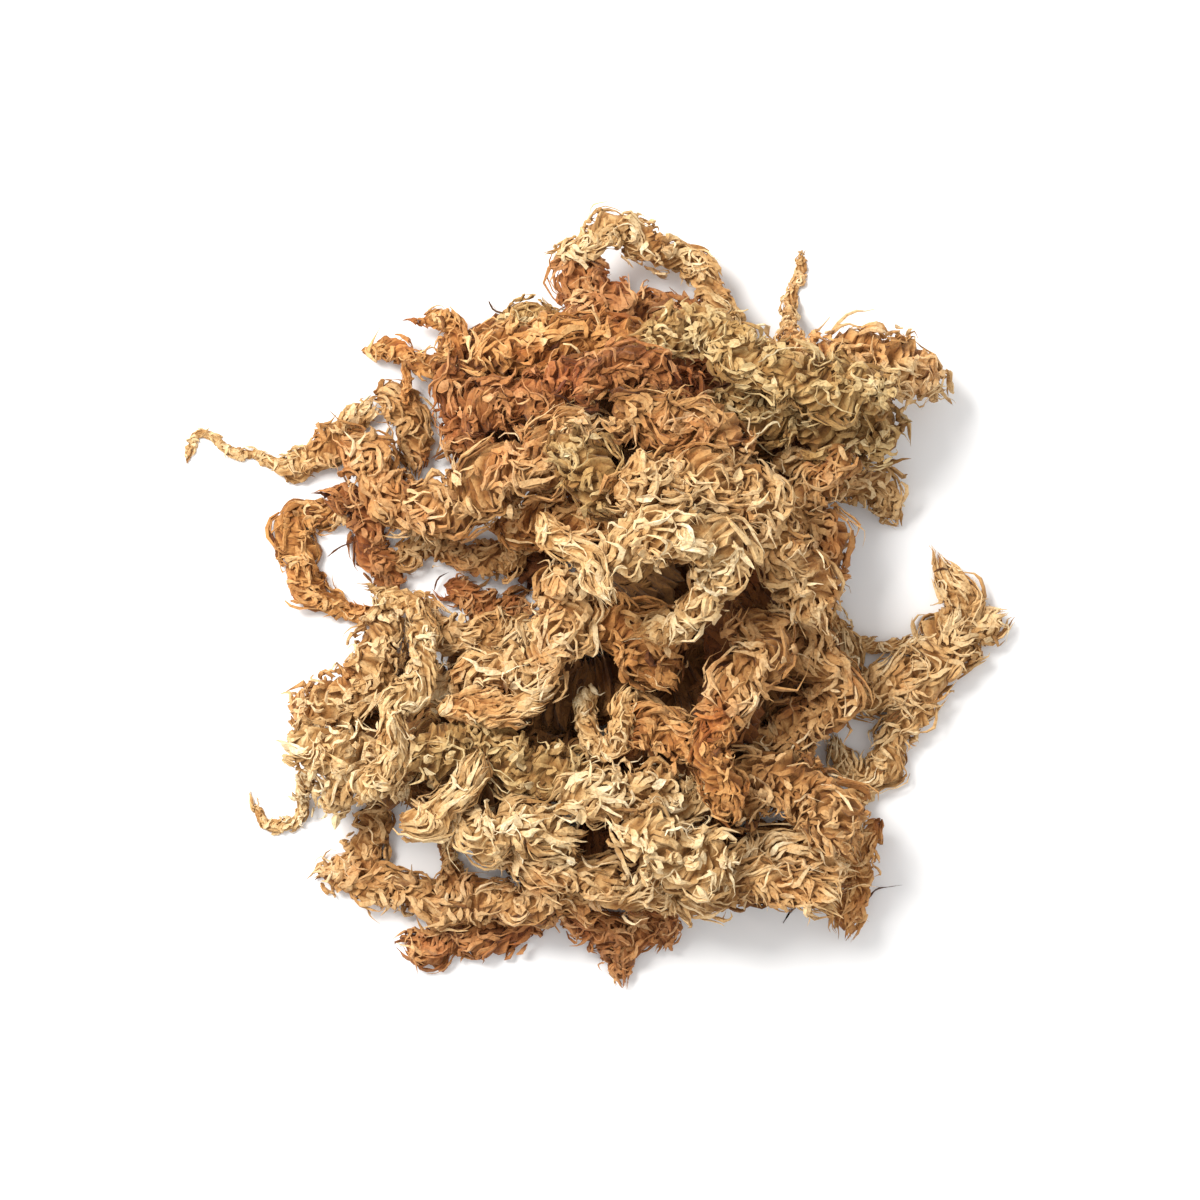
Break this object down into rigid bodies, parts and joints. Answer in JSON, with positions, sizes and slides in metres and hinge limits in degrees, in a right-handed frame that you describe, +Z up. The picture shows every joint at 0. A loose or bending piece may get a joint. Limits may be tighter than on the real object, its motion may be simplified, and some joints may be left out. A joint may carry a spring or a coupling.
{
  "type": "sphagnum moss clump",
  "caption": "Loose clump of dried sphagnum moss: curled leafy stems piled over each other, with sprigs and thin tails straying out at its edges.",
  "frame": {"origin": "middle of the clump's bounding box in plan, on the table that it rests on", "axes": "+Z up from the table, +X along the clump's longest side (right in the picture), +Y towards the picture's top edge"},
  "size_m": [0.1664, 0.1552, 0.0465],
  "materials": {
    "cream": "matt dry plant fibre",
    "straw": "matt dry plant fibre",
    "tan": "matt dry plant fibre",
    "amber": "matt dry plant fibre",
    "rust": "matt dry plant fibre",
    "olive": "matt dry plant fibre"
  },
  "bodies": {
    "root": {"base_north": "amber", "base_upper": "tan", "base_middle": "rust", "base_waist": "tan", "base_lower": "straw", "base_broad": "straw", "base_south": "tan", "west_tail": "straw", "west_hook": "amber", "west_rust": "rust", "west_bridge": "tan", "west_low": "rust", "west_arch": "tan", "northwest_sprig": "amber", "north_knot": "olive", "north_brown": "rust", "north_arch": "straw", "northeast_foot": "straw", "south_rust": "rust", "south_spur": "rust", "southeast_tail": "amber", "east_sprig": "straw", "south_loop": "tan", "north_edge": "rust", "northeast_face": "olive", "west_neck": "straw", "west_head": "cream", "fill_middle": "olive", "fill_east": "amber", "east_edge": "tan", "north_ridge": "amber", "northeast_ridge": "straw", "east_wall": "tan", "southeast_face": "straw", "south_frill": "straw", "west_collar": "straw", "core_brown": "olive", "red_band": "rust", "brown_curls": "rust", "olive_ridge": "olive", "amber_fold": "amber", "west_crest": "tan", "east_knee": "tan", "core_amber": "amber", "crest_tan": "tan", "olive_knot": "olive", "yellow_band": "straw", "cream_twist": "cream", "pale_crest": "straw", "south_cream": "cream", "southeast_knot": "tan", "flat_straw": "straw", "cream_arc": "cream", "gate": "amber", "south_crest": "cream", "south_head": "cream", "pale_head": "cream", "pale_loop": "cream", "orange_stem": "amber", "pale_ribbon": "cream"}
  },
  "joints": []
}
